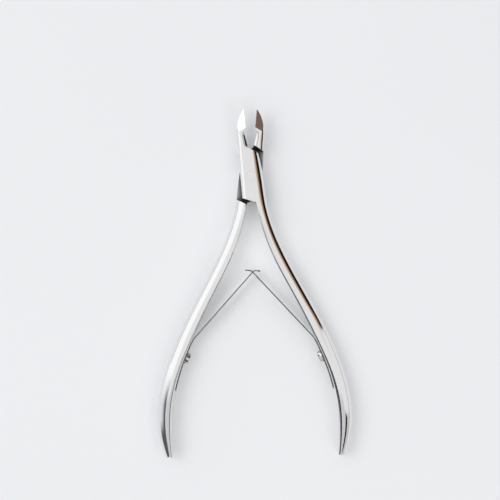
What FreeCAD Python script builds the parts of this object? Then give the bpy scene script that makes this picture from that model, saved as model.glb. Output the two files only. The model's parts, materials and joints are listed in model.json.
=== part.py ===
import FreeCAD, Part
import math
import os

from FreeCAD import Placement, Rotation, Vector

# Cuticle nipper with a lap joint, a flush rivet and a two-leaf spring.
# Millimetres. The origin is on the pivot axis, on the plane the nipper rests on.
# +Z points up through the rivet, +Y towards the jaws, +X to the upper half's handle.
#
# Each half is drawn closed, with its cutting edge on the plane x = 0, its jaw at -X
# and its handle at +X. It is then turned about the rivet to its sprung-open place.
# The lower half is the same drawing mirrored in x, with its lap in the lower layer.

# Overall
THICKNESS = 7.0
MIDDLE = THICKNESS / 2
OPEN_ANGLE = 11.4

# Blocks that only cut: how far they reach in plan and in height, and a half space's edge
REACH = 40.0
BLOCK = 320.0
TOUCH = 0.001

# Lap joint
LAP_GAP = 0.02
JAW_SHOULDER = (Vector(-3.19, 7.49, 0), Vector(-0.35, 9.06, 0))
HANDLE_SHOULDER = (Vector(0.72, -8.64, 0), Vector(3.67, -7.53, 0))
LAP_FOOT = (Vector(-3.4, -6.4, 0), Vector(-1.5, -7.22, 0))
LAP_HEAD = (Vector(2.67, 6.94, 0), Vector(0.6, 7.9, 0))

# Handle and right side of the lap, one row per station along y:
# y, inner face, outer face, height, inner edge radius, width of the outer flank,
# height of the upright wall between the upper and the lower flank
HANDLE_STATIONS = (
    (8.0, -1.45, 2.65, 7.06, 0.30, 1.68, 3.40),
    (4.0, -0.95, 3.25, 7.05, 0.30, 2.25, 2.20),
    (0.0, -0.48, 3.55, 7.05, 0.35, 2.55, 1.70),
    (-4.0, -0.02, 3.68, 7.05, 0.40, 2.55, 1.70),
    (-8.0, 0.45, 3.80, 7.02, 0.45, 2.45, 1.75),
    (-16.0, 1.45, 5.02, 6.45, 0.50, 2.35, 1.30),
    (-26.0, 4.15, 8.20, 5.80, 0.55, 2.55, 0.50),
    (-38.0, 8.95, 13.10, 5.55, 0.60, 2.60, 0.20),
    (-50.0, 13.35, 17.80, 5.90, 0.75, 2.65, 0.20),
    (-60.0, 16.30, 20.72, 6.50, 1.00, 2.60, 0.30),
    (-70.0, 17.65, 22.08, 6.75, 1.25, 2.50, 0.30),
    (-79.0, 17.30, 21.20, 6.25, 1.10, 2.30, 0.30),
    (-86.2, 16.20, 18.60, 5.00, 0.75, 1.40, 0.30),
)

# Rounded end of the handle
END_RADIUS = 1.0
END_LENGTH = 6.0
END_OUTER_SLOPE = 0.55
END_HEIGHT_SLOPE = 0.12

# Left side of the lap: straight, a little wider towards the handle
LAP_LEFT_X = -3.26
LAP_LEFT_SLOPE = 0.024
LAP_LEFT_FLANK = 1.3
LAP_LEFT_WALL = 4.2
LAP_LEFT_YS = (-8.0, -5.0, -2.0, 1.0, 4.0)
LAP_SPARE = 0.06

# Jaw, one row per station along y:
# y, outer face, underside, top, width of the outer flank,
# height of the upright wall between the upper and the lower flank
JAW_STATIONS = (
    (6.5, -3.10, -0.06, 7.06, 1.32, 4.20),
    (9.0, -3.00, 0.35, 7.05, 1.25, 3.80),
    (11.5, -2.90, 1.48, 6.98, 1.05, 3.00),
    (14.0, -2.72, 2.62, 6.83, 0.60, 2.20),
    (16.0, -2.24, 3.40, 6.63, 0.38, 1.60),
    (17.8, -1.50, 3.95, 6.38, 0.28, 1.10),
    (19.0, -0.82, 4.20, 6.17, 0.20, 0.80),
    (19.9, -0.12, 4.35, 6.00, 0.06, 0.60),
)
JAW_INNER = 0.95
JAW_INNER_RADIUS = 0.1

# Blade and throat
EDGE_GAP = 0.02
HEEL_Y = 14.45
TIP_Y = 19.5
FACET_OUTER = Vector(-2.6, 13.3, 6.87)
FACET_HEEL = Vector(0.0, HEEL_Y, 6.8)
FACET_TIP = Vector(0.0, TIP_Y, 5.3)
RELIEF_ANGLE = 12.0
RELIEF_START_Y = 13.25
THROAT = (
    Vector(-0.72, 13.3, 0),
    Vector(-0.42, 11.3, 0),
    Vector(-0.12, 9.3, 0),
)
THROAT_CORNER = Vector(0.1, 8.5, 0)
THROAT_HEAD_X = 1.0
COVE_RADIUS = 1.6
COVE_START = Vector(0.35, 9.6, 7.7)
COVE_END = Vector(0.1, 12.2, 7.6)

# Rivet
RIVET_RADIUS = 1.0
RIVET_HEAD_RADIUS = 1.4
RIVET_HEAD_DEPTH = 0.5
RIVET_CLEARANCE = 0.02
RIVET_RECESS = 0.05

# Spring strip
STRIP = 0.36
FOOT_WIDTH = 4.0
LEAF_ROOT_WIDTH = 3.8
LEAF_TIP_WIDTH = 3.2
FOOT_ANGLE = 23.0
LEAF_ANGLE = 42.3
TAPER_BEFORE_HINGE = 1.0
TAPER_PAST_CROSSING = 3.0
BEND_RADIUS = 6.0
HINGE = Vector(18.5, -49.65, 0)
HINGE_GAP = 0.03
FOOT_END_Y = -66.2
FOOT_STEPS = 3
SEAT_BITE = 0.3

# Interlock at the springs' free ends
PAST_CROSSING = 0.2
WINDOW_HALF_LENGTH = 1.0
WINDOW_HALF_WIDTH = 0.85
TONGUE_HALF_WIDTH = 0.62
SHOULDER_BACK = 0.6
WINDOW_HOOK = (85.0, 1.0, 1.5)
TONGUE_HOOK = (96.0, 0.8, 1.2)
BEAD_RADIUS = 0.27

# Spring screws
SCREW_POSITION_Y = -56.0
SCREW_ANGLE = 16.3
SCREW_HEAD_RADIUS = 1.7
SCREW_HEAD_HEIGHT = 1.15
SCREW_HEAD_EDGE = 0.25
SCREW_RADIUS = 0.8
SCREW_LENGTH = 2.6
SLOT_LENGTH = 4.0
SLOT_WIDTH = 0.5
SLOT_DEPTH = 0.55
SLOT_TURN = 35.0
HOLE_CLEARANCE = 0.02
HOLE_SPARE = 0.2

UP = Vector(0, 0, 1)


def line(start, end):
    return Part.LineSegment(start, end).toShape()


def arc(start, middle, end):
    return Part.Arc(start, middle, end).toShape()


def prism(points, bottom, top):
    """A straight-sided solid between two heights, on a closed polygon."""
    corners = [Vector(p.x, p.y, bottom) for p in points]
    face = Part.Face(Part.makePolygon(corners + corners[:1]))
    return face.extrude(Vector(0, 0, top - bottom))


def half_space(point, normal):
    """A large block on the side of a plane that the normal points to."""
    block = Part.makeBox(BLOCK, BLOCK, BLOCK, Vector(-BLOCK / 2, -BLOCK / 2, 0))
    block.Placement = Placement(point, Rotation(UP, normal))
    return block


def section(y, inner, outer, bottom, top, radius, flank, wall):
    """One closed cross-section: round inner edges, flat top and bottom, and outside
    an upright wall that an arc above it and one below it round off to the creases."""
    side = math.copysign(1.0, outer - inner)
    middle = (bottom + top) / 2
    low = middle - wall / 2
    high = middle + wall / 2
    crease = outer - side * flank
    corner = inner + side * radius
    cut = radius * (1 - math.sqrt(0.5))
    rise = top - high
    bow = (rise * rise + flank * flank) / (2 * flank)
    half_turn = math.atan2(rise, bow - flank) / 2
    arc_x = outer - side * bow * (1 - math.cos(half_turn))
    arc_rise = bow * math.sin(half_turn)
    edges = (
        line(Vector(inner, y, bottom + radius), Vector(inner, y, top - radius)),
        arc(
            Vector(inner, y, top - radius),
            Vector(inner + side * cut, y, top - cut),
            Vector(corner, y, top),
        ),
        line(Vector(corner, y, top), Vector(crease, y, top)),
        arc(
            Vector(crease, y, top),
            Vector(arc_x, y, high + arc_rise),
            Vector(outer, y, high),
        ),
        line(Vector(outer, y, high), Vector(outer, y, low)),
        arc(
            Vector(outer, y, low),
            Vector(arc_x, y, low - arc_rise),
            Vector(crease, y, bottom),
        ),
        line(Vector(crease, y, bottom), Vector(corner, y, bottom)),
        arc(
            Vector(corner, y, bottom),
            Vector(inner + side * cut, y, bottom + cut),
            Vector(inner, y, bottom + radius),
        ),
    )
    return Part.Wire(edges)


def handle_blank():
    wires = [
        section(y, inner, outer, MIDDLE - height / 2, MIDDLE + height / 2, radius, flank, wall)
        for y, inner, outer, height, radius, flank, wall in HANDLE_STATIONS
    ]
    return Part.makeLoft(wires, True, False).cut(past_rounded_end())


def rounded_block(corners, along):
    """A polygon extruded both ways, with its first two corners rounded."""
    block = Part.Face(Part.makePolygon(corners + corners[:1])).extrude(along * (2 * REACH))
    block.translate(along * -REACH)
    sharp = [
        edge
        for edge in block.Edges
        if min(edge.CenterOfMass.distanceToPoint(corner) for corner in corners[:2]) < TOUCH
    ]
    return block.makeFillet(END_RADIUS, sharp)


def past_rounded_end():
    """What is taken off the handle's end to round it in plan and in side view."""
    end_y, inner, outer, height = HANDLE_STATIONS[-1][:4]
    start_y = end_y + END_LENGTH
    widened = outer + END_LENGTH * END_OUTER_SLOPE
    raise_by = END_LENGTH * END_HEIGHT_SLOPE
    plan = rounded_block(
        [
            Vector(inner, end_y, 0),
            Vector(outer, end_y, 0),
            Vector(widened, start_y, 0),
            Vector(inner, start_y, 0),
        ],
        UP,
    )
    low = MIDDLE - height / 2
    high = MIDDLE + height / 2
    side_view = rounded_block(
        [
            Vector(0, end_y, low),
            Vector(0, end_y, high),
            Vector(0, start_y, high + raise_by),
            Vector(0, start_y, low - raise_by),
        ],
        Vector(1, 0, 0),
    )
    block = Part.makeBox(REACH, REACH, REACH, Vector(0, start_y - REACH, MIDDLE - REACH / 2))
    return block.cut(plan.common(side_view))


def jaw_blank():
    heights = (-LAP_SPARE, THICKNESS + LAP_SPARE)
    lap = [
        (y, LAP_LEFT_X + LAP_LEFT_SLOPE * y, *heights, LAP_LEFT_FLANK, LAP_LEFT_WALL)
        for y in LAP_LEFT_YS
    ]
    wires = [
        section(y, JAW_INNER, outer, bottom, top, JAW_INNER_RADIUS, flank, wall)
        for y, outer, bottom, top, flank, wall in lap + list(JAW_STATIONS)
    ]
    return Part.makeLoft(wires, True, False)


def through(line_points, x):
    """The point at x on the straight line through two points."""
    first, second = line_points
    share = (x - first.x) / (second.x - first.x)
    return first + (second - first) * share


def below_lap_foot():
    """Everything under the slanted lower end of the lap, beside the handle."""
    left = through(LAP_FOOT, -REACH)
    right = through(LAP_FOOT, REACH)
    corners = (left, right, Vector(REACH, -REACH, 0), Vector(-REACH, -REACH, 0))
    return prism(corners, -REACH, REACH)


def beside_throat():
    """What lies on the other jaw's side of the blade, the throat and the lap's head."""
    edge_x = -EDGE_GAP
    heel = Vector(edge_x, HEEL_Y, -REACH)
    wall = [heel] + [p + Vector(0, 0, -REACH) for p in THROAT]
    foot = THROAT_CORNER + Vector(0, 0, -REACH)
    head = through(LAP_HEAD, THROAT_HEAD_X) + Vector(0, 0, -REACH)
    outside = through(LAP_HEAD, REACH) + Vector(0, 0, -REACH)
    curve = Part.BSplineCurve()
    curve.interpolate(wall[1:])
    corner = Part.BezierCurve()
    corner.setPoles([wall[-1], foot, head])
    edges = [
        line(Vector(edge_x, REACH, -REACH), heel),
        line(heel, wall[1]),
        curve.toShape(),
        corner.toShape(),
        line(head, outside),
        line(outside, Vector(REACH, REACH, -REACH)),
        line(Vector(REACH, REACH, -REACH), Vector(edge_x, REACH, -REACH)),
    ]
    return Part.Face(Part.Wire(edges)).extrude(Vector(0, 0, 2 * REACH))


def above_facet():
    """What the ground facet takes off the front of the blade."""
    normal = (FACET_TIP - FACET_HEEL).cross(FACET_OUTER - FACET_HEEL)
    if normal.z < 0:
        normal = -normal
    return half_space(FACET_HEEL, normal)


def behind_edge():
    """The relief on the inside of the blade, which falls away behind the cutting edge."""
    along = FACET_TIP - FACET_HEEL
    away = Vector(-math.sin(math.radians(RELIEF_ANGLE)), 0, -math.cos(math.radians(RELIEF_ANGLE)))
    normal = along.cross(away)
    if normal.x < 0:
        normal = -normal
    relief = half_space(FACET_HEEL + Vector(-EDGE_GAP, 0, 0), normal)
    return relief.common(half_space(Vector(0, RELIEF_START_Y, 0), Vector(0, 1, 0)))


def throat_cove():
    """The round hollow beside the throat, ground into the front of the jaw."""
    axis = COVE_END - COVE_START
    barrel = Part.makeCylinder(COVE_RADIUS, axis.Length, COVE_START, axis)
    balls = [Part.makeSphere(COVE_RADIUS, end) for end in (COVE_START, COVE_END)]
    return barrel.fuse(balls)


def lap_pocket(lap_is_upper):
    """The layer that the other half's lap turns in, between the two slanted shoulders."""
    corners = (
        through(JAW_SHOULDER, -REACH),
        through(JAW_SHOULDER, REACH),
        through(HANDLE_SHOULDER, REACH),
        through(HANDLE_SHOULDER, -REACH),
    )
    if lap_is_upper:
        return prism(corners, -REACH, MIDDLE + LAP_GAP / 2)
    return prism(corners, MIDDLE - LAP_GAP / 2, REACH)


def closed_half(lap_is_upper):
    """One half of the nipper in its closed place, without its bores."""
    jaw = jaw_blank().cut(below_lap_foot())
    half = handle_blank().fuse(jaw)
    half = half.cut(half_space(Vector(0, 0, THICKNESS), UP))
    half = half.cut(half_space(Vector(0, 0, 0), -UP))
    half = half.cut(beside_throat())
    half = half.cut(above_facet())
    half = half.cut(behind_edge())
    half = half.cut(throat_cove())
    half = half.cut(lap_pocket(lap_is_upper))
    return half.removeSplitter()


def turned(shape, angle):
    """A copy turned about the rivet's axis."""
    copy = shape.copy()
    copy.rotate(Vector(0, 0, 0), UP, angle)
    return copy


def mirrored(shape):
    """A copy mirrored from one half's side to the other."""
    return shape.mirror(Vector(0, 0, 0), Vector(1, 0, 0))


def rivet(clearance):
    """Shank with a countersunk head at each face, grown by a running clearance."""
    radius = RIVET_RADIUS + clearance
    head = RIVET_HEAD_RADIUS + clearance
    profile = (
        Vector(0, 0, 0),
        Vector(head, 0, 0),
        Vector(radius, 0, RIVET_HEAD_DEPTH),
        Vector(radius, 0, THICKNESS - RIVET_HEAD_DEPTH),
        Vector(head, 0, THICKNESS),
        Vector(0, 0, THICKNESS),
    )
    face = Part.Face(Part.makePolygon(profile + profile[:1]))
    return face.revolve(Vector(0, 0, 0), UP, 360)


def pivot_rivet():
    recess = Part.makeCylinder(RIVET_HEAD_RADIUS + RIVET_CLEARANCE, RIVET_RECESS)
    return rivet(0).cut(recess)


def heading(angle):
    """Unit direction at an angle from +Y towards -X."""
    turn = math.radians(angle)
    return Vector(-math.sin(turn), math.cos(turn), 0)


def sideways(angle):
    """Unit direction at right angles to a heading, on its +X side."""
    turn = math.radians(angle)
    return Vector(math.cos(turn), math.sin(turn), 0)


def bent_strip(start, start_angle, end_angle, radius):
    """A curved piece of strip seen from above, and the point where its centre line ends."""
    centre = start - sideways(start_angle) * radius
    outer = radius + STRIP / 2
    inner = radius - STRIP / 2
    middle_angle = (start_angle + end_angle) / 2
    edges = [
        arc(*[centre + sideways(a) * outer for a in (start_angle, middle_angle, end_angle)]),
        line(centre + sideways(end_angle) * outer, centre + sideways(end_angle) * inner),
        arc(*[centre + sideways(a) * inner for a in (end_angle, middle_angle, start_angle)]),
        line(centre + sideways(start_angle) * inner, centre + sideways(start_angle) * outer),
    ]
    return Part.Face(Part.Wire(edges)), centre + sideways(end_angle) * radius


def straight_strip(start, angle, length):
    """A straight piece of strip seen from above, and the point where its centre line ends."""
    end = start + heading(angle) * length
    across = sideways(angle) * (STRIP / 2)
    corners = [start + across, end + across, end - across, start - across]
    return Part.Face(Part.makePolygon(corners + corners[:1])), end


def round_end(centre, radius):
    return Part.Face(Part.Wire(Part.makeCircle(radius, centre, UP)))


def raised(face, width):
    """A strip's plan view stood up to its width, centred in the nipper's thickness."""
    solid = face.extrude(Vector(0, 0, width))
    solid.translate(Vector(0, 0, MIDDLE - width / 2))
    return solid


def leaf_plan(hook, bead_radius):
    """Plan view of the right-hand flexing leaf, and the place where it crosses x = 0."""
    hook_angle, hook_radius, hook_length = hook
    bend, bend_end = bent_strip(HINGE, FOOT_ANGLE, LEAF_ANGLE, BEND_RADIUS)
    to_crossing = bend_end.x / math.sin(math.radians(LEAF_ANGLE))
    crossing = bend_end + heading(LEAF_ANGLE) * to_crossing
    blade, blade_end = straight_strip(bend_end, LEAF_ANGLE, to_crossing + PAST_CROSSING)
    curl, curl_end = bent_strip(blade_end, LEAF_ANGLE, hook_angle, hook_radius)
    tip, tip_end = straight_strip(curl_end, hook_angle, hook_length)
    knuckle = round_end(HINGE, STRIP / 2)
    plan = knuckle.fuse([bend, blade, curl, tip, round_end(tip_end, bead_radius)])
    return plan, crossing


def leaf_band(crossing, start, end, start_half_width, end_half_width):
    """A block whose width tapers along the leaf, measured from the crossing."""
    corners = [
        Vector(start, -start_half_width, 0),
        Vector(end, -end_half_width, 0),
        Vector(end, end_half_width, 0),
        Vector(start, start_half_width, 0),
    ]
    block = prism(corners, -REACH, REACH)
    lying = Rotation(heading(LEAF_ANGLE), UP, sideways(LEAF_ANGLE), "XYZ")
    block.Placement = Placement(crossing + Vector(0, 0, MIDDLE), lying)
    return block


def leaf(hook, bead_radius):
    """The right-hand leaf with its taper, and the place where it crosses x = 0."""
    plan, crossing = leaf_plan(hook, bead_radius)
    solid = raised(plan.removeSplitter(), LEAF_ROOT_WIDTH)
    taper = leaf_band(
        crossing,
        -(HINGE - crossing).Length - TAPER_BEFORE_HINGE,
        TAPER_PAST_CROSSING,
        LEAF_ROOT_WIDTH / 2,
        LEAF_TIP_WIDTH / 2,
    )
    return solid.common(taper), crossing


def window_leaf():
    """Right-hand leaf with the window that the other leaf's tongue passes through."""
    solid, crossing = leaf(WINDOW_HOOK, STRIP / 2)
    window = leaf_band(
        crossing,
        -WINDOW_HALF_LENGTH,
        WINDOW_HALF_LENGTH,
        WINDOW_HALF_WIDTH,
        WINDOW_HALF_WIDTH,
    )
    return solid.cut(window)


def tongue_leaf():
    """Leaf that ends in a narrow tongue, drawn on the right-hand side."""
    solid, crossing = leaf(TONGUE_HOOK, BEAD_RADIUS)
    end = leaf_band(crossing, -SHOULDER_BACK, REACH, REACH, REACH)
    tongue = leaf_band(crossing, -SHOULDER_BACK, REACH, TONGUE_HALF_WIDTH, TONGUE_HALF_WIDTH)
    return solid.cut(end.cut(tongue))


def inner_face_curve(offset):
    """The handle's inner face seen from above, moved towards the other handle."""
    points = [Vector(station[1], station[0], 0) for station in HANDLE_STATIONS]
    curve = Part.BSplineCurve()
    curve.interpolate(points)
    shifted = curve.toShape()
    shifted.translate(sideways(FOOT_ANGLE - OPEN_ANGLE / 2) * -offset)
    return shifted.Curve


def point_at(curve, y):
    """The point of a curve that runs along the handle, at one place along it."""
    plane = Part.Plane(Vector(0, y, 0), Vector(0, 1, 0))
    crossings = curve.intersect(plane)[0]
    return Vector(crossings[0].X, crossings[0].Y, 0)


def half_foot(handle):
    """The spring's clamped foot in the closed half's place, seated on the handle."""
    hinge = turned(Part.Vertex(HINGE), -OPEN_ANGLE / 2).Point
    step = (FOOT_END_Y - hinge.y) / FOOT_STEPS
    ys = [hinge.y + step * i for i in range(FOOT_STEPS + 1)]
    seat = inner_face_curve(-SEAT_BITE)
    top = inner_face_curve(STRIP)
    outer = Part.BSplineCurve()
    outer.interpolate([point_at(seat, y) for y in ys])
    inner = Part.BSplineCurve()
    inner.interpolate([point_at(top, y) for y in reversed(ys)])
    edges = [
        outer.toShape(),
        line(outer.EndPoint, inner.StartPoint),
        inner.toShape(),
        line(inner.EndPoint, outer.StartPoint),
    ]
    foot = raised(Part.Face(Part.Wire(edges)), FOOT_WIDTH).cut(handle)
    return foot.cut(Part.makeCylinder(STRIP / 2 + HINGE_GAP, THICKNESS, hinge))


def screw_frame():
    """Where the spring screw's head meets the foot, and the way out of the handle."""
    out = -sideways(SCREW_ANGLE)
    seat = point_at(inner_face_curve(STRIP), SCREW_POSITION_Y)
    return seat + Vector(0, 0, MIDDLE), out


def screw_hole():
    """The bore through the foot and into the handle, begun a strip's thickness above the foot."""
    place, out = screw_frame()
    length = 2 * STRIP + SCREW_LENGTH + HOLE_SPARE
    return Part.makeCylinder(SCREW_RADIUS + HOLE_CLEARANCE, length, place + out * STRIP, -out)


def spring_screw():
    """Slotted pan-head screw, in the closed half's place."""
    place, out = screw_frame()
    head = Part.makeCylinder(SCREW_HEAD_RADIUS, SCREW_HEAD_HEIGHT)
    head = head.makeFillet(
        SCREW_HEAD_EDGE,
        [edge for edge in head.Edges if edge.CenterOfMass.z > SCREW_HEAD_HEIGHT - TOUCH],
    )
    slot = Part.makeBox(SLOT_LENGTH, SLOT_WIDTH, SLOT_DEPTH)
    slot.translate(Vector(-SLOT_LENGTH / 2, -SLOT_WIDTH / 2, SCREW_HEAD_HEIGHT - SLOT_DEPTH))
    slot.rotate(Vector(0, 0, 0), UP, SLOT_TURN)
    shank = Part.makeCylinder(SCREW_RADIUS, SCREW_LENGTH + STRIP, Vector(0, 0, 0), -UP)
    screw = head.cut(slot).fuse(shank)
    screw.Placement = Placement(place, Rotation(UP, out))
    return screw


def build():
    """Every piece in its sprung-open place, by name."""
    swing = OPEN_ANGLE / 2
    closed_upper = closed_half(True)
    closed_lower = closed_half(False)
    screw = spring_screw()
    foot = half_foot(closed_upper).cut(screw_hole()).cut(screw)
    upper = closed_upper.cut(screw_hole()).cut(rivet(RIVET_CLEARANCE))
    lower = closed_lower.cut(screw_hole()).cut(rivet(0))
    return {
        "upper_half": turned(upper, swing),
        "lower_half": mirrored(turned(lower, swing)),
        "pivot_rivet": pivot_rivet(),
        "right_spring_foot": turned(foot, swing),
        "right_spring_leaf": window_leaf(),
        "right_spring_screw": turned(screw, swing),
        "left_spring_foot": mirrored(turned(foot, swing)),
        "left_spring_leaf": mirrored(tongue_leaf()),
        "left_spring_screw": mirrored(turned(screw, swing)),
    }


def main():
    os.makedirs("parts", exist_ok=True)
    for name, shape in build().items():
        shape.exportStep(os.path.join("parts", name + ".step"))


main()
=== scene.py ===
import json
import math

import bmesh
import bpy
import numpy as np
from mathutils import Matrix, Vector
from mathutils.kdtree import KDTree


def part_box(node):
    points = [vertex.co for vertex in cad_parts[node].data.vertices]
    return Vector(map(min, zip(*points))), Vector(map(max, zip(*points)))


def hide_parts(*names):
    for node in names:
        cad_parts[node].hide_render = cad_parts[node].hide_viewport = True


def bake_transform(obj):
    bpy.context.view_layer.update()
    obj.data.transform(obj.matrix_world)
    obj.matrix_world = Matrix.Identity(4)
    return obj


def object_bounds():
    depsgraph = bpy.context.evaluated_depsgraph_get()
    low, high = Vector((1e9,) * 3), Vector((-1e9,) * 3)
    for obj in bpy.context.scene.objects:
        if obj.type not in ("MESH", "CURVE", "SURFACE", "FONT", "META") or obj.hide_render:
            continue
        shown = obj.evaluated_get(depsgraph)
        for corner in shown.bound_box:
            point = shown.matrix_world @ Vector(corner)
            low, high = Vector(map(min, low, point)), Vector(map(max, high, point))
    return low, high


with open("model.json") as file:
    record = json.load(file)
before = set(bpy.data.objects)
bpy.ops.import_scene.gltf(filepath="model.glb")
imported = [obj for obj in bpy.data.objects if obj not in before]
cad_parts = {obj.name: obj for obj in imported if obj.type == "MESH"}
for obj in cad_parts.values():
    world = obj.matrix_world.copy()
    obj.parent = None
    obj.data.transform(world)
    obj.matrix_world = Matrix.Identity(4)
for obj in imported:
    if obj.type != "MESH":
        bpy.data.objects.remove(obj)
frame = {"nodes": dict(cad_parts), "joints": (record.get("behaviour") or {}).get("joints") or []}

# Cuticle nipper in polished steel, lying on a pale floor under soft studio light.
# Metres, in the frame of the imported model: +Z up through the rivet, +Y to the jaws.

MM = 0.001
cad_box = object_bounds()
NODES = frame["nodes"]
MIDDLE = (cad_box[0].z + cad_box[1].z) / 2
SIGNS = {"left": -1, "right": 1}


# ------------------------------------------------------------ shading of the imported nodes

# How each point's normal is fitted: how many neighbours count, the fewest points a surface
# needs, how fast a neighbour's weight falls off, and what keeps the fit solvable.
NEIGHBOURS = 28
FEWEST_POINTS = 9
FALL_OFF = 3.0
RIDGE = 1e-7


def numbers(items, name, count, kind=float):
    """One attribute of a mesh collection as an array with count columns."""
    flat = np.empty(len(items) * count, kind)
    items.foreach_get(name, flat)
    return flat.reshape(-1, count) if count > 1 else flat


def surface_labels(mesh):
    """For each vertex, a number that is the same all over one smooth surface of the solid.
    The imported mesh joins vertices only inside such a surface."""
    first, second = numbers(mesh.edges, "vertices", 2, int).T
    label = np.arange(len(mesh.vertices))
    while True:
        low = np.minimum(label[first], label[second])
        before = label.copy()
        np.minimum.at(label, first, low)
        np.minimum.at(label, second, low)
        label = label[label]
        if (label == before).all():
            return label


def facet_normals(triangles, points):
    """Area-weighted vertex normals of a triangle mesh."""
    a, b, c = (points[triangles[:, i]] for i in range(3))
    areas = np.cross(b - a, c - a)
    total = np.zeros_like(points)
    for i in range(3):
        np.add.at(total, triangles[:, i], areas)
    return total / np.linalg.norm(total, axis=1, keepdims=True)


def fitted_normals(points, rough):
    """Normals of the quadratic surfaces that pass closest to each point's neighbours."""
    tree = KDTree(len(points))
    for i, point in enumerate(points):
        tree.insert(point, i)
    tree.balance()
    count = min(NEIGHBOURS, len(points))
    near = np.array([[i for _, i, _ in tree.find_n(point, count)] for point in points])
    offsets = points[near] - points[:, None, :]
    side = np.where(abs(rough[:, :1]) < 0.7, [[1.0, 0.0, 0.0]], [[0.0, 1.0, 0.0]])
    along = np.cross(rough, side)
    along /= np.linalg.norm(along, axis=1, keepdims=True)
    across = np.cross(rough, along)
    scale = np.linalg.norm(offsets, axis=2).max(1)[:, None]
    u, v, h = (
        np.einsum("nkj,nj->nk", offsets, axis) / scale for axis in (along, across, rough)
    )
    weight = np.exp(-FALL_OFF * (u * u + v * v + h * h))
    terms = np.stack([np.ones_like(u), u, v, u * u, u * v, v * v], axis=2)
    weighted = terms * weight[..., None]
    square = np.einsum("nki,nkj->nij", weighted, terms) + RIDGE * np.eye(terms.shape[2])
    target = np.einsum("nki,nk->ni", weighted, h)
    fit = np.linalg.solve(square, target[..., None])[..., 0]
    normal = rough - along * fit[:, 1:2] - across * fit[:, 2:3]
    return normal / np.linalg.norm(normal, axis=1, keepdims=True)


def refine_shading(node):
    """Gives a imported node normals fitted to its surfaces, in place of its facets' averages.
    It moves no vertex. A surface of very few points keeps the averages."""
    mesh = NODES[node].data
    points = numbers(mesh.vertices, "co", 3)
    triangles = numbers(mesh.loops, "vertex_index", 1, int).reshape(-1, 3)
    normals = facet_normals(triangles, points)
    label = surface_labels(mesh)
    for surface in np.unique(label):
        here = np.flatnonzero(label == surface)
        if len(here) >= FEWEST_POINTS:
            normals[here] = fitted_normals(points[here], normals[here])
    mesh.normals_split_custom_set_from_vertices(normals)


# ------------------------------------------------------------ node trees

class Graph:
    """A short way to write a node tree."""

    def __init__(self, owner):
        owner.use_nodes = True
        self.tree = owner.node_tree
        self.tree.nodes.clear()

    def node(self, kind, inputs=None, **settings):
        """A node with these settings. Its inputs are values, sockets or other nodes."""
        made = self.tree.nodes.new(kind)
        for name, value in settings.items():
            setattr(made, name, value)
        for name, value in (inputs or {}).items():
            socket = made.inputs[name]
            if isinstance(value, bpy.types.Node):
                value = value.outputs[0]
            if isinstance(value, bpy.types.NodeSocket):
                self.tree.links.new(value, socket)
            else:
                socket.default_value = value
        return made

    def math(self, operation, a, b=0.0):
        return self.node("ShaderNodeMath", {0: a, 1: b}, operation=operation)

    def multiply(self, a, b):
        return self.math("MULTIPLY", a, b)

    def add(self, a, b):
        return self.math("ADD", a, b)

    def band(self, value, low, high, start=0.0, end=1.0):
        """Goes smoothly from start to end as value goes from low to high."""
        return self.node(
            "ShaderNodeMapRange",
            {"Value": value, "From Min": low, "From Max": high, "To Min": start, "To Max": end},
            interpolation_type="SMOOTHSTEP",
        )

    def mix(self, share, a, b):
        """Colour a where share is 0 and b where it is 1."""
        made = self.node("ShaderNodeMix", data_type="RGBA")
        for socket, value in ((0, share), (6, a), (7, b)):
            if isinstance(value, bpy.types.Node):
                value = value.outputs[2 if value.bl_idname == "ShaderNodeMix" else 0]
            if isinstance(value, bpy.types.NodeSocket):
                self.tree.links.new(value, made.inputs[socket])
            else:
                made.inputs[socket].default_value = value
        return made.outputs[2]

    def stretched(self, place, scales, turn=0.0):
        """Coordinates in millimetres, turned about Z and then scaled along each axis."""
        turned = self.node(
            "ShaderNodeMapping", {"Vector": place, "Rotation": (0, 0, turn)}
        )
        return self.node(
            "ShaderNodeMapping",
            {"Vector": turned, "Scale": tuple(s / MM for s in scales)},
        )

    def noise(self, vector, scale=1.0, detail=2.0, rough=0.5):
        return self.node(
            "ShaderNodeTexNoise",
            {"Vector": vector, "Scale": scale, "Detail": detail, "Roughness": rough},
        ).outputs["Fac"]


def grey(level, warm=0.0):
    """A grey with warm as the share by which red is up and blue is down."""
    return (level * (1 + warm), level, level * (1 - warm), 1.0)


# ------------------------------------------------------------ materials

# How far outside the rivet's rim the edges' softening begins and is complete
BEVEL_FADE = (0.3 * MM, 0.6 * MM)


def painted_corner_shade(g, colour, distance, thresholds):
    """colour, with shade painted near black where surfaces within distance hide much of the sky."""
    openness = g.node("ShaderNodeAmbientOcclusion", {"Distance": distance}, samples=12)
    unshaded_share = g.band(openness.outputs["AO"], *thresholds, 0.005, 1.0)
    return g.mix(unshaded_share, grey(0.004), colour)


def sheared_edges(g, colour, edge_colour):
    """colour, with edge_colour on faces that look up or down: the strip's cut edges."""
    facing = g.node("ShaderNodeNewGeometry").outputs["Normal"]
    upright = g.node("ShaderNodeSeparateXYZ", {0: facing}).outputs[2]
    cut_edge = g.band(g.math("ABSOLUTE", upright), 0.6, 0.8)
    return g.mix(cut_edge, colour, edge_colour)


def softened_edges(g, place, radius):
    """A normal that rounds sharp edges off, except around the flush rivet."""
    flat_place = g.node("ShaderNodeVectorMath", {0: place, 1: (1, 1, 0)}, operation="MULTIPLY")
    reach = g.node("ShaderNodeVectorMath", {0: flat_place}, operation="LENGTH").outputs["Value"]
    rivet_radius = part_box("pivot_rivet")[1].x
    near, far = (rivet_radius + fade for fade in BEVEL_FADE)
    return g.node("ShaderNodeBevel", {"Radius": g.band(reach, near, far, 0.0, radius)}, samples=8)


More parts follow.
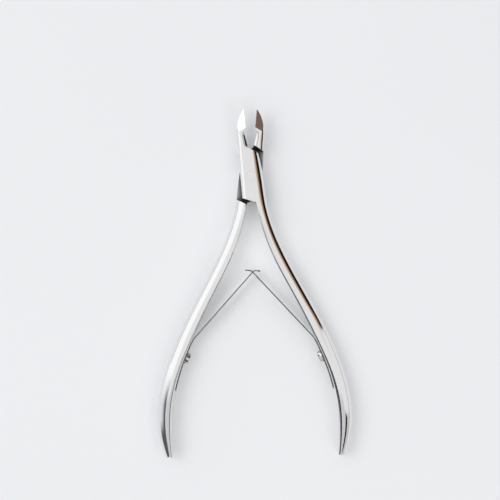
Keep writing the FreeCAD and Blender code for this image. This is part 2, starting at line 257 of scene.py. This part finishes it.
def finishing_marks(g, place, scales, turn):
    """Fine lines in the metal, long where scales are small and close together where they are large."""
    marks = g.noise(g.stretched(place, scales, turn), detail=5.0, rough=0.65)
    streaks = g.noise(g.stretched(place, tuple(s * 0.23 for s in scales), turn), detail=2.0)
    return g.add(g.multiply(marks, 0.6), g.multiply(streaks, 0.4))


def steel(name, tint, rough, marks, edge=0.0, corner_shade=None, sheared=None):
    """A steel. marks is (scales, turn, height in metres, share of the roughness),
    edge the radius its edges seem rounded by, the corner setting (distance, thresholds) of the
    shade painted near black into its corners, and sheared the colour of its cut edges."""
    made = bpy.data.materials.new(name)
    g = Graph(made)
    place = g.node("ShaderNodeTexCoord").outputs["Object"]
    cloud = g.noise(g.stretched(place, (0.35, 0.12, 0.35)), detail=3.0)
    darker = tuple(c * 0.93 for c in tint[:3]) + (1.0,)
    colour = g.mix(g.multiply(cloud, 0.3), tint, darker)
    # Shade painted near black into corners that hide much of the sky
    if corner_shade:
        colour = painted_corner_shade(g, colour, *corner_shade)
    if sheared:
        colour = sheared_edges(g, colour, sheared)
    scales, turn, height, share = marks
    pattern = finishing_marks(g, place, scales, turn)
    smudged = g.add(rough, g.multiply(g.math("SUBTRACT", cloud, 0.45), 0.02))
    bump = {"Height": pattern, "Strength": 1.0, "Distance": height}
    if edge:
        bump["Normal"] = softened_edges(g, place, edge)
    inputs = {
        "Base Color": colour,
        "Metallic": 1.0,
        "Roughness": g.add(smudged, g.multiply(pattern, share)),
        "Normal": g.node("ShaderNodeBump", bump),
    }
    shader = g.node("ShaderNodeBsdfPrincipled", inputs)
    g.node("ShaderNodeOutputMaterial", {"Surface": shader})
    return made


STEEL = grey(0.86)
POLISHING = ((9, 0.35, 9), 0.0, 0.0004 * MM, 0.03)

MATERIALS = {
    "polished": steel("polished_steel", STEEL, 0.055, POLISHING, edge=0.07 * MM),
    "rivet": steel("polished_rivet", STEEL, 0.055, POLISHING),
    "ground": steel("ground_blade_steel", grey(0.84), 0.14, ((1.2, 14, 14), 0.5, 0.0015 * MM, 0.12)),
    # Lap faces: a darker steel, with shade painted near black into its corners and gaps
    "lap": steel(
        "ground_lap_steel_with_painted_shade",
        (0.40, 0.385, 0.41, 1),
        0.3,
        ((12, 1.5, 12), 0.3, 0.003 * MM, 0.2),
        corner_shade=(2.2 * MM, (0.40, 0.86)),
    ),
    "spring": steel(
        "spring_steel",
        grey(0.62),
        0.2,
        ((3, 3, 20), 0.0, 0.001 * MM, 0.12),
        sheared=grey(0.2, -0.02),
    ),
    # Screws: shade painted near black into their slots and other recesses
    "screw": steel(
        "screw_steel",
        (0.80, 0.77, 0.72, 1),
        0.10,
        ((14, 14, 14), 0.0, 0.001 * MM, 0.1),
        corner_shade=(1.0 * MM, (0.30, 0.80)),
    ),
}

# Where the halves' flat faces are ground: the blades' facets start at BLADES_FROM, and the
# lap's faces and shoulders lie within LAP_REACH of the rivet.
BLADES_FROM = 13.4 * MM
LAP_REACH = 9.2 * MM


def dress(node, *names):
    """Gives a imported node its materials, in the order of their numbers."""
    mesh = NODES[node].data
    mesh.materials.clear()
    for name in names:
        mesh.materials.append(MATERIALS[name])


def finish_of(where, facing):
    """Material number of a surface, from its centre and the mean of its normals."""
    polished, ground, lap = range(3)
    flat = np.linalg.norm(facing) > 0.999
    if not flat:
        return polished
    level = abs(facing[2]) > 0.99 and abs(where[2] - MIDDLE) < 0.1 * MM
    shoulder = abs(facing[2]) < 0.05 and abs(where[1]) < LAP_REACH
    if level or shoulder:
        return lap
    return ground if where[1] > BLADES_FROM else polished


def dress_half(node):
    """Polished steel, with ground blade facets, and lap faces in a darker ground steel with shade
    painted into their corners.
    """
    dress(node, "polished", "ground", "lap")
    mesh = NODES[node].data
    label = surface_labels(mesh)
    first = numbers(mesh.loops, "vertex_index", 1, int).reshape(-1, 3)[:, 0]
    area = numbers(mesh.polygons, "area", 1)
    centre = numbers(mesh.polygons, "center", 3)
    normal = numbers(mesh.polygons, "normal", 3)
    index = np.zeros(len(mesh.polygons), int)
    for surface in np.unique(label[first]):
        here = np.flatnonzero(label[first] == surface)
        share = area[here] / area[here].sum()
        index[here] = finish_of(share @ centre[here], share @ normal[here])
    mesh.polygons.foreach_set("material_index", index)


# ------------------------------------------------------------ springs

# The strip's path: along the handle, round a bend, and straight on past the place where
# the two strips cross. Headings are in degrees.
FOOT_HEADING = 23.0
LEAF_HEADING = 42.3
BEND_RADIUS = 6.0 * MM
PAST_CROSSING = 0.2 * MM

# The strip's section, and how its width changes
STRIP = 0.36 * MM
STRIP_EDGE = 0.05 * MM
FOOT_CORNER = 0.8 * MM
FOOT_TO_LEAF = 2.0 * MM
TAPER_END = 3.0 * MM
LEAF_TIP_WIDTH = 3.2 * MM
WIDEST_CUT = 0.9
BEAD_RADIUS = 0.27 * MM

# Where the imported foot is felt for: at a height that misses its screw hole, and between
# its far end and its knuckle
CLEAR_OF_HOLE = 1.5 * MM
CLEAR_OF_END = 0.02 * MM
CLEAR_OF_KNUCKLE = 0.4 * MM

BEYOND_THE_TIP = 99.0 * MM

# Each strip's hooked end, and its window (right) or tongue (left): half its width, and
# where it starts and ends past the place where the strips cross.
ENDS = {
    "right": {
        "hook_heading": 85.0,
        "hook_radius": 1.0 * MM,
        "hook_length": 1.5 * MM,
        "half_width": 0.85 * MM,
        "start": -1.0 * MM,
        "end": 1.11 * MM,
    },
    "left": {
        "hook_heading": 96.0,
        "hook_radius": 0.8 * MM,
        "hook_length": 1.2 * MM,
        "half_width": 0.62 * MM,
        "start": -0.6 * MM,
        "end": BEYOND_THE_TIP,
    },
}
JOINTS = {joint["name"]: joint for joint in frame["joints"]}


def heading(angle):
    """Unit direction in plan, turned from +Y towards -X."""
    turn = math.radians(angle)
    return np.array([-math.sin(turn), math.cos(turn)])


def walk(start, moves):
    """Points along a path seen from above, after its start.
    Each move is (length, heading at its start, heading at its end, steps)."""
    points = []
    place = np.array(start)
    for length, first, last, steps in moves:
        for i in range(steps):
            place = place + heading(first + (last - first) * (i + 0.5) / steps) * length / steps
            points.append(place)
    return points


def foot_path(side, hinge, end_y, steps=24):
    """Centre line of the clamped foot, from its far end to the hinge, drawn at +X."""
    node = NODES[side + "_spring_foot"]
    sign = SIGNS[side]
    level = MIDDLE + CLEAR_OF_HOLE
    points = []
    for y in np.linspace(end_y + CLEAR_OF_END, hinge[1] - CLEAR_OF_KNUCKLE, steps):
        _, place, normal, _ = node.ray_cast((0, y, level), (sign, 0, 0))
        inside = place - normal * STRIP / 2
        points.append(np.array([sign * inside.x, inside.y]))
    return points


def spring_path(side):
    """Centre line of one spring drawn at +X, how far each point lies past the crossing,
    and which point is the hinge."""
    end = ENDS[side]
    hook_heading = end["hook_heading"]
    hinge = np.abs(np.array(JOINTS[side + "_spring_flex"]["pos_m"][:2])) * (1, -1)
    foot = foot_path(side, hinge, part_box(side + "_spring_foot")[0].y)
    bend_length = BEND_RADIUS * math.radians(LEAF_HEADING - FOOT_HEADING)
    bend = walk(hinge, [(bend_length, FOOT_HEADING, LEAF_HEADING, 10)])
    to_crossing = bend[-1][0] / math.sin(math.radians(LEAF_HEADING))
    hook_bend = end["hook_radius"] * math.radians(hook_heading - LEAF_HEADING)
    hook_start = max(0.0, end["end"] - PAST_CROSSING - hook_bend)
    hook_start = min(hook_start, end["hook_length"] / 2)
    rest = walk(
        bend[-1],
        [
            (to_crossing + end["start"], LEAF_HEADING, LEAF_HEADING, 40),
            (PAST_CROSSING - end["start"], LEAF_HEADING, LEAF_HEADING, 6),
            (hook_bend, LEAF_HEADING, hook_heading, 10),
            (hook_start, hook_heading, hook_heading, 1),
            (end["hook_length"] - hook_start, hook_heading, hook_heading, 4),
        ],
    )
    points = np.array(foot + [hinge] + bend + rest)
    steps = np.linalg.norm(np.diff(points, axis=0), axis=1)
    along = np.concatenate([[0.0], np.cumsum(steps)])
    hinge_index = len(foot)
    crossing = along[hinge_index] + bend_length + to_crossing
    return points, along - crossing, hinge_index


def half_widths(along, side, hinge_index):
    """Half of the strip's width at each point: rounded foot end, then a taper to the hook."""
    foot_low, foot_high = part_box(side + "_spring_foot")
    leaf_low, leaf_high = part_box(side + "_spring_leaf")
    foot = (foot_high.z - foot_low.z) / 2
    root = (leaf_high.z - leaf_low.z) / 2
    hinge = along[hinge_index]
    taper = np.clip((along - hinge) / (TAPER_END - hinge), 0, 1)
    leaf = root + (LEAF_TIP_WIDTH / 2 - root) * taper
    share = np.clip((along - hinge) / FOOT_TO_LEAF + 1, 0, 1)
    width = foot + (leaf - foot) * share
    from_end = np.clip(along - along[0], 0, FOOT_CORNER)
    corner = FOOT_CORNER - np.sqrt(FOOT_CORNER**2 - (FOOT_CORNER - from_end) ** 2)
    return width - corner


def strip_mesh(side):
    """One spring as a sheet: a bent strip with its window or its tongue, in metres."""
    points, along, hinge_index = spring_path(side)
    width = half_widths(along, side, hinge_index)
    end = ENDS[side]
    sign = SIGNS[side]
    cut = np.minimum(end["half_width"], width * WIDEST_CUT)
    lines = np.stack([-width, -cut, cut, width], axis=1)
    vertices = [
        (sign * x, y, MIDDLE + z) for (x, y), row in zip(points, lines) for z in row
    ]
    faces = []
    for i in range(len(points) - 1):
        halfway = (along[i] + along[i + 1]) / 2
        in_cut = end["start"] < halfway < end["end"]
        for j in range(3):
            outer = j != 1
            if in_cut and outer == (side == "left"):
                continue
            a = 4 * i + j
            faces.append((a, a + 1, a + 5, a + 4))
    mesh = bpy.data.meshes.new(side + "_spring")
    mesh.from_pydata(vertices, [], faces)
    return mesh, points, hinge_index


def apply_modifiers(obj):
    """Puts what obj's modifiers make into its own mesh."""
    evaluated = obj.evaluated_get(bpy.context.evaluated_depsgraph_get())
    mesh = bpy.data.meshes.new_from_object(evaluated)
    obj.modifiers.clear()
    obj.data = mesh


def add_bead(mesh, centre, half_length):
    """A round bead along Z at the tongue's tip."""
    shape = bmesh.new()
    shape.from_mesh(mesh)
    made = bmesh.ops.create_cone(
        shape,
        cap_ends=True,
        segments=20,
        radius1=BEAD_RADIUS,
        radius2=BEAD_RADIUS,
        depth=2 * half_length,
    )["verts"]
    bmesh.ops.translate(shape, verts=made, vec=centre)
    shape.to_mesh(mesh)
    shape.free()


def thicken(strip):
    """Gives the sheet the strip's thickness and slightly rounded edges."""
    thick = strip.modifiers.new("thickness", "SOLIDIFY")
    thick.thickness = STRIP
    thick.offset = 0
    thick.use_even_offset = True
    bevel = strip.modifiers.new("edge", "BEVEL")
    bevel.width = STRIP_EDGE
    bevel.segments = 2
    bevel.limit_method = "ANGLE"
    bevel.angle_limit = math.radians(40)
    apply_modifiers(strip)


def spring(side):
    """One leaf spring as the single strip of steel that it is."""
    mesh, points, hinge_index = strip_mesh(side)
    sign = SIGNS[side]
    strip = bpy.data.objects.new(side + "_spring_strip", mesh)
    bpy.context.scene.collection.objects.link(strip)
    bpy.context.view_layer.update()
    thicken(strip)
    if side == "left":
        tip = points[-1]
        add_bead(strip.data, (sign * tip[0], tip[1], MIDDLE), ENDS[side]["half_width"])
    strip.data.set_sharp_from_angle(angle=math.radians(35))
    strip.data.shade_smooth()
    strip.data.materials.clear()
    strip.data.materials.append(MATERIALS["spring"])
    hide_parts(side + "_spring_foot", side + "_spring_leaf")
    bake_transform(strip)


# ------------------------------------------------------------ surroundings

FLOOR_GAP = 0.03 * MM
BOARD_DISTANCE = 120 * MM
TENT_WHITE = grey(1.0)
NEAR_BLACK = (0.004, 0.002, 0.001, 1)


def floor():
    """A pale sheet a hair below the nipper, clear when seen from underneath."""
    bpy.ops.mesh.primitive_plane_add(size=4.0, location=(0, 0, cad_box[0].z - FLOOR_GAP))
    made = bpy.context.object
    made.name = "floor"
    paint = bpy.data.materials.new("pale_floor")
    g = Graph(paint)
    place = g.node("ShaderNodeTexCoord").outputs["Object"]
    cloud = g.noise(g.stretched(place, (0.004, 0.004, 0.004)))
    colour = g.mix(cloud, (0.80, 0.81, 0.83, 1), (0.84, 0.845, 0.86, 1))
    top = g.node("ShaderNodeBsdfPrincipled", {"Base Color": colour, "Roughness": 0.7})
    below = g.node("ShaderNodeNewGeometry").outputs["Backfacing"]
    clear = g.node("ShaderNodeBsdfTransparent")
    shader = g.node("ShaderNodeMixShader", {0: below, 1: top, 2: clear})
    g.node("ShaderNodeOutputMaterial", {"Surface": shader})
    made.data.materials.append(paint)


def patch(g, direction, toward, outer, inner):
    """1 inside a round patch of the tent and 0 outside it. outer and inner are the cosines
    of the angles from its middle at which it starts and is complete."""
    middle = Vector(toward).normalized()
    near = g.node("ShaderNodeVectorMath", {0: direction, 1: middle}, operation="DOT_PRODUCT")
    return g.band(near.outputs["Value"], outer, inner)


def studio():
    """A white tent, dim near the floor and behind the handles, with a brown patch and a
    bright one for the blades. Steel sees it in full; everything else gets a soft light
    that comes more from the left than from the right."""
    made = bpy.data.worlds.new("studio")
    g = Graph(made)
    direction = g.node("ShaderNodeTexCoord").outputs["Generated"]
    x, y, up = g.node("ShaderNodeSeparateXYZ", {0: direction}).outputs
    tent = g.mix(g.band(up, 0.01, 0.12), grey(0.16), TENT_WHITE)
    brown = patch(g, direction, (0.26, 0.53, 0.80), 0.90, 0.97)
    bright = patch(g, direction, (-0.28, 0.53, 0.80), 0.92, 0.98)
    seen = g.mix(brown, tent, (0.23, 0.13, 0.095, 1))
    seen = g.mix(bright, seen, grey(1.5))
    side = g.multiply(g.band(x, -0.5, 0.05, 1.12, 0.87), g.band(y, -0.088, -0.060, 0.76, 1.0))
    seen_light = g.node("ShaderNodeBackground", {"Color": seen, "Strength": side})
    wash = g.multiply(g.band(x, -0.9, 0.9, 0.89, 0.58), g.band(up, 0.0, 0.9, 0.40, 1.05))
    cast = g.node("ShaderNodeBackground", {"Color": (0.99, 0.993, 1.0, 1), "Strength": wash})
    by_steel = g.node("ShaderNodeLightPath").outputs["Is Glossy Ray"]
    mixed = g.node("ShaderNodeMixShader", {0: by_steel, 1: cast, 2: seen_light})
    g.node("ShaderNodeOutputWorld", {"Surface": mixed})
    bpy.context.scene.world = made


def board(name, x, y_low, y_high, height, paint):
    """An upright board beside the nipper, which shows only in the steel's reflections.
    paint(graph, y, z) gives its colour."""
    bpy.ops.mesh.primitive_plane_add(size=1.0)
    made = bpy.context.object
    made.name = name
    made.dimensions = (height, y_high - y_low, 0)
    made.location = (x, (y_low + y_high) / 2, height / 2)
    made.rotation_euler = (0, math.radians(90), 0)
    look = bpy.data.materials.new(name)
    g = Graph(look)
    place = g.node("ShaderNodeNewGeometry").outputs["Position"]
    _, y, z = g.node("ShaderNodeSeparateXYZ", {0: place}).outputs
    shader = g.node("ShaderNodeEmission", {"Color": paint(g, y, z)})
    g.node("ShaderNodeOutputMaterial", {"Surface": shader})
    made.data.materials.append(look)
    made.visible_camera = False
    made.visible_diffuse = False
    made.visible_shadow = False


def brown_wall(g, y, z):
    """Black at the foot, then brown, tan and cream. Each band is taller beside the jaws, and
    past the jaws' tips the wall turns black all the way up."""
    z = g.multiply(z, g.band(y, 3 * MM, 14 * MM, 1.0, 0.64))
    colour = g.mix(g.band(z, 38 * MM, 62 * MM), NEAR_BLACK, (0.22, 0.09, 0.04, 1))
    colour = g.mix(g.band(z, 62 * MM, 100 * MM), colour, (0.58, 0.46, 0.35, 1))
    colour = g.mix(g.band(z, 125 * MM, 190 * MM), colour, (0.93, 0.87, 0.80, 1))
    return g.mix(g.band(y, 37 * MM, 41 * MM), colour, (0.004, 0.003, 0.004, 1))


def dark_strip(g, y, z):
    """Pale grey with a black strip along it."""
    strip = g.multiply(g.band(z, 52 * MM, 66 * MM), g.band(z, 104 * MM, 122 * MM, 1.0, 0.0))
    return g.mix(strip, grey(0.62), grey(0.01))


def dim_room(g, y, z):
    """Fades from the tent's white to a dim room away from the jaws. The room is darkest on
    top, and its pale foot ends beside the handles' ends."""
    away = g.band(y, -70 * MM, -30 * MM, 1.0, 0.0)
    foot = g.mix(g.band(y, -106 * MM, -80 * MM), (0.10, 0.10, 0.12, 1), (0.80, 0.81, 0.84, 1))
    low = g.mix(g.band(z, 20 * MM, 120 * MM), foot, (0.12, 0.12, 0.14, 1))
    dark = g.mix(g.band(z, 120 * MM, 190 * MM), low, (0.01, 0.01, 0.012, 1))
    return g.mix(away, grey(1.12), dark)


def lamp(name, kind, place, aim, energy, **settings):
    """A lamp at place that points at aim and that steel doesn't mirror."""
    light = bpy.data.lights.new(name, kind)
    light.energy = energy
    for key, value in settings.items():
        setattr(light, key, value)
    made = bpy.data.objects.new(name, light)
    bpy.context.scene.collection.objects.link(made)
    made.location = place
    made.rotation_euler = (Vector(place) - Vector(aim)).to_track_quat("Z", "Y").to_euler()
    made.visible_glossy = False


def lights():
    """A broad soft window on the left, a weaker one at the handles' end, and two lamps without
    shadows: an even fill, and a faint pool of light between the upper handles, in place of
    what their polished inner walls would throw there."""
    nipper = (0, 0, 0)
    pool = (1.5 * MM, -24 * MM, 0)
    above_pool = (pool[0], pool[1], 300 * MM)
    lamp("window", "AREA", (-0.75, 0.12, 1.1), nipper, 3.0, shape="SQUARE", size=0.7)
    lamp("low_window", "AREA", (0.5, -0.7, 0.9), nipper, 1.2, shape="SQUARE", size=0.6)
    lamp("fill", "SUN", (0, 0, 1), nipper, 0.62, use_shadow=False)
    lamp(
        "pool",
        "SPOT",
        above_pool,
        pool,
        0.34,
        use_shadow=False,
        spot_size=math.radians(6.0),
        spot_blend=1.0,
        shadow_soft_size=0.0,
    )


def camera():
    """Straight above the nipper, as in a product picture taken from the top."""
    distance = 600 * MM
    across = 150 * MM
    lens = bpy.data.cameras.new("camera")
    lens.lens = lens.sensor_width * distance / across
    eye = bpy.data.objects.new("camera", lens)
    bpy.context.scene.collection.objects.link(eye)
    eye.location = (-0.7 * MM, -22.2 * MM, distance + cad_box[1].z / 2)
    eye.rotation_euler = (0, 0, math.radians(-0.9))
    bpy.context.scene.camera = eye


# ------------------------------------------------------------ the whole

for name in NODES:
    refine_shading(name)
for name in ("upper_half", "lower_half"):
    dress_half(name)
dress("pivot_rivet", "rivet")
for side in ("left", "right"):
    dress(side + "_spring_screw", "screw")
spring("left")
spring("right")

floor()
studio()
board("brown_board", BOARD_DISTANCE, -2 * MM, 300 * MM, 300 * MM, brown_wall)
board("streak_board", BOARD_DISTANCE, -190 * MM, -84 * MM, 230 * MM, dark_strip)
board("dim_board", -BOARD_DISTANCE, -420 * MM, -25 * MM, 420 * MM, dim_room)
lights()
camera()
bpy.context.scene.view_settings.view_transform = "Standard"
